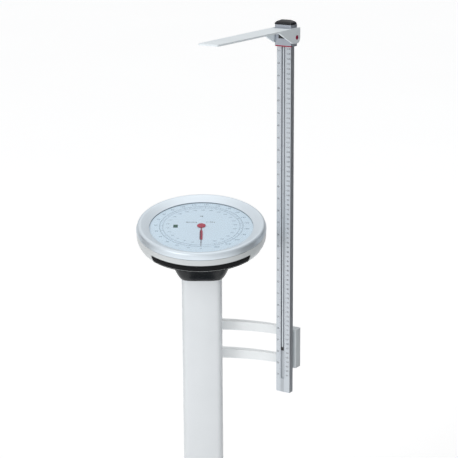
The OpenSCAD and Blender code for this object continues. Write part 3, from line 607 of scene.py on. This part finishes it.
def bar_scale():
    """Centimetres on the inner bar, which come out of the rod as it is pulled up."""
    bm = bmesh.new()
    middle, face = -1.2, 0.6
    shift = Matrix.Translation(Vector((middle, face, 0)) * MM) @ STAND
    bar_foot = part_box("inner_bar")[0].z / MM
    for cm in range(131, 191):
        z = LABEL_ZERO + cm * 10 - BAR_TRAVEL
        if z < bar_foot + 2:
            continue
        rod_tick(bm, middle - 1.6, middle - 0.6, z, face - 0.03, face + 0.01, 0.15)
        if cm % 5 == 0:
            word(bm, str(cm), 1.6, 0, z + 2.2, 0, shift)
    piece("inner_bar_scale", bm, ROD_PRINT, "extension", ROD)


rod_scales()
bar_scale()


# ---------------------------------------------------------------- stage, light and camera

def card(name, corners, dark, light, scale, detail, **values):
    """Flat stage card with a faint drift between two greys."""
    me = bpy.data.meshes.new(name)
    me.from_pydata(corners, [], [(0, 1, 2, 3)])
    o = bpy.data.objects.new(name, me)
    scene.collection.objects.link(o)
    n = Nodes(name)
    drift = n.span(n.noise(n.coords(), scale, detail), 0, 1)
    n.link(n.mix(drift, (dark, dark, dark, 1), (light, light, light, 1)), n.bsdf.inputs["Base Color"])
    n.set(Roughness=0.9, **values)
    me.materials.append(n.mat)
    return o


def flag(name, x, y0, y1):
    """Black card beside the object, out of the camera's sight, for the dark edges in bright metal."""
    o = card(name, [(x, y0, 0.02), (x, y1, 0.02), (x, y1, 2.0), (x, y0, 2.0)], 0.02, 0.03, 2, 1)
    o.visible_camera = False
    o.visible_shadow = False


def area(name, at, aim, size, watts, size_y=None):
    """Area light aimed at a point; square unless size_y is given."""
    data = bpy.data.lights.new(name, "AREA")
    data.shape = "RECTANGLE"
    data.size = size
    data.size_y = size_y or size
    data.energy = watts
    o = bpy.data.objects.new(name, data)
    o.location = at
    o.rotation_euler = (Vector(aim) - Vector(at)).to_track_quat("-Z", "Y").to_euler()
    scene.collection.objects.link(o)


def world():
    """White studio: bright overhead, dimmer at eye level and to the right."""
    w = bpy.data.worlds.new("studio")
    w.use_nodes = True
    t = w.node_tree
    back = t.nodes["Background"]
    coord = t.nodes.new("ShaderNodeTexCoord")
    split = t.nodes.new("ShaderNodeSeparateXYZ")
    t.links.new(coord.outputs["Generated"], split.inputs[0])

    def ramp(axis, stops):
        """Colour by direction, -1 to 1 along one axis taken as 0 to 1."""
        remap = t.nodes.new("ShaderNodeMapRange")
        remap.inputs["From Min"].default_value = -1
        t.links.new(split.outputs[axis], remap.inputs["Value"])
        n = t.nodes.new("ShaderNodeValToRGB")
        t.links.new(remap.outputs[0], n.inputs[0])
        for element, (position, colour) in zip(n.color_ramp.elements, stops):
            element.position = position
            element.color = colour
        return n.outputs[0]

    white = (1, 1, 1, 1)
    both = t.nodes.new("ShaderNodeMix")
    both.data_type = "RGBA"
    both.blend_type = "MULTIPLY"
    both.inputs[0].default_value = 1
    t.links.new(ramp(2, ((0.5, (0.55, 0.56, 0.57, 1)), (0.75, white))), both.inputs[6])
    t.links.new(ramp(0, ((0.66, white), (0.85, (0.5, 0.52, 0.54, 1)))), both.inputs[7])
    t.links.new(both.outputs[2], back.inputs[0])
    back.inputs[1].default_value = 0.8
    scene.world = w


card("floor", [(-60, -40, 0), (60, -40, 0), (60, 120, 0), (-60, 120, 0)], 0.93, 0.95, 0.8, 2,
     Emission_Color=(1, 1, 1, 1), Emission_Strength=0.32)
world()
area("key", (-2.4, -2.8, 3.0), (0.0, 0.1, 1.0), 1.6, 34)
area("top", (0.2, 0.6, 4.2), (0.0, 0.1, 1.0), 2.4, 14)
area("strip", (-0.16, -2.7, 1.0), (0.0, 0.1, 0.8), 0.12, 1.6, size_y=1.6)
flag("flag_right", 1.3, -0.6, 1.3)
flag("flag_left", -1.7, 0.1, 1.2)

CAMERA_FROM_COLUMN = Vector((0.0577, -3.0744, 1.789))
CAMERA_TILT = 75.18       # degrees up from looking straight down
CAMERA_ROLL = -0.35       # degrees

cam_data = bpy.data.cameras.new("camera")
cam_data.lens = 119.9
cam_data.sensor_width = 36
cam_data.clip_end = 300
camera = bpy.data.objects.new("camera", cam_data)
camera.matrix_world = (Matrix.Translation(COLUMN + CAMERA_FROM_COLUMN)
                       @ Matrix.Rotation(math.radians(CAMERA_TILT), 4, "X")
                       @ Matrix.Rotation(math.radians(CAMERA_ROLL), 4, "Z"))
scene.collection.objects.link(camera)
scene.camera = camera
scene.view_settings.view_transform = "Standard"
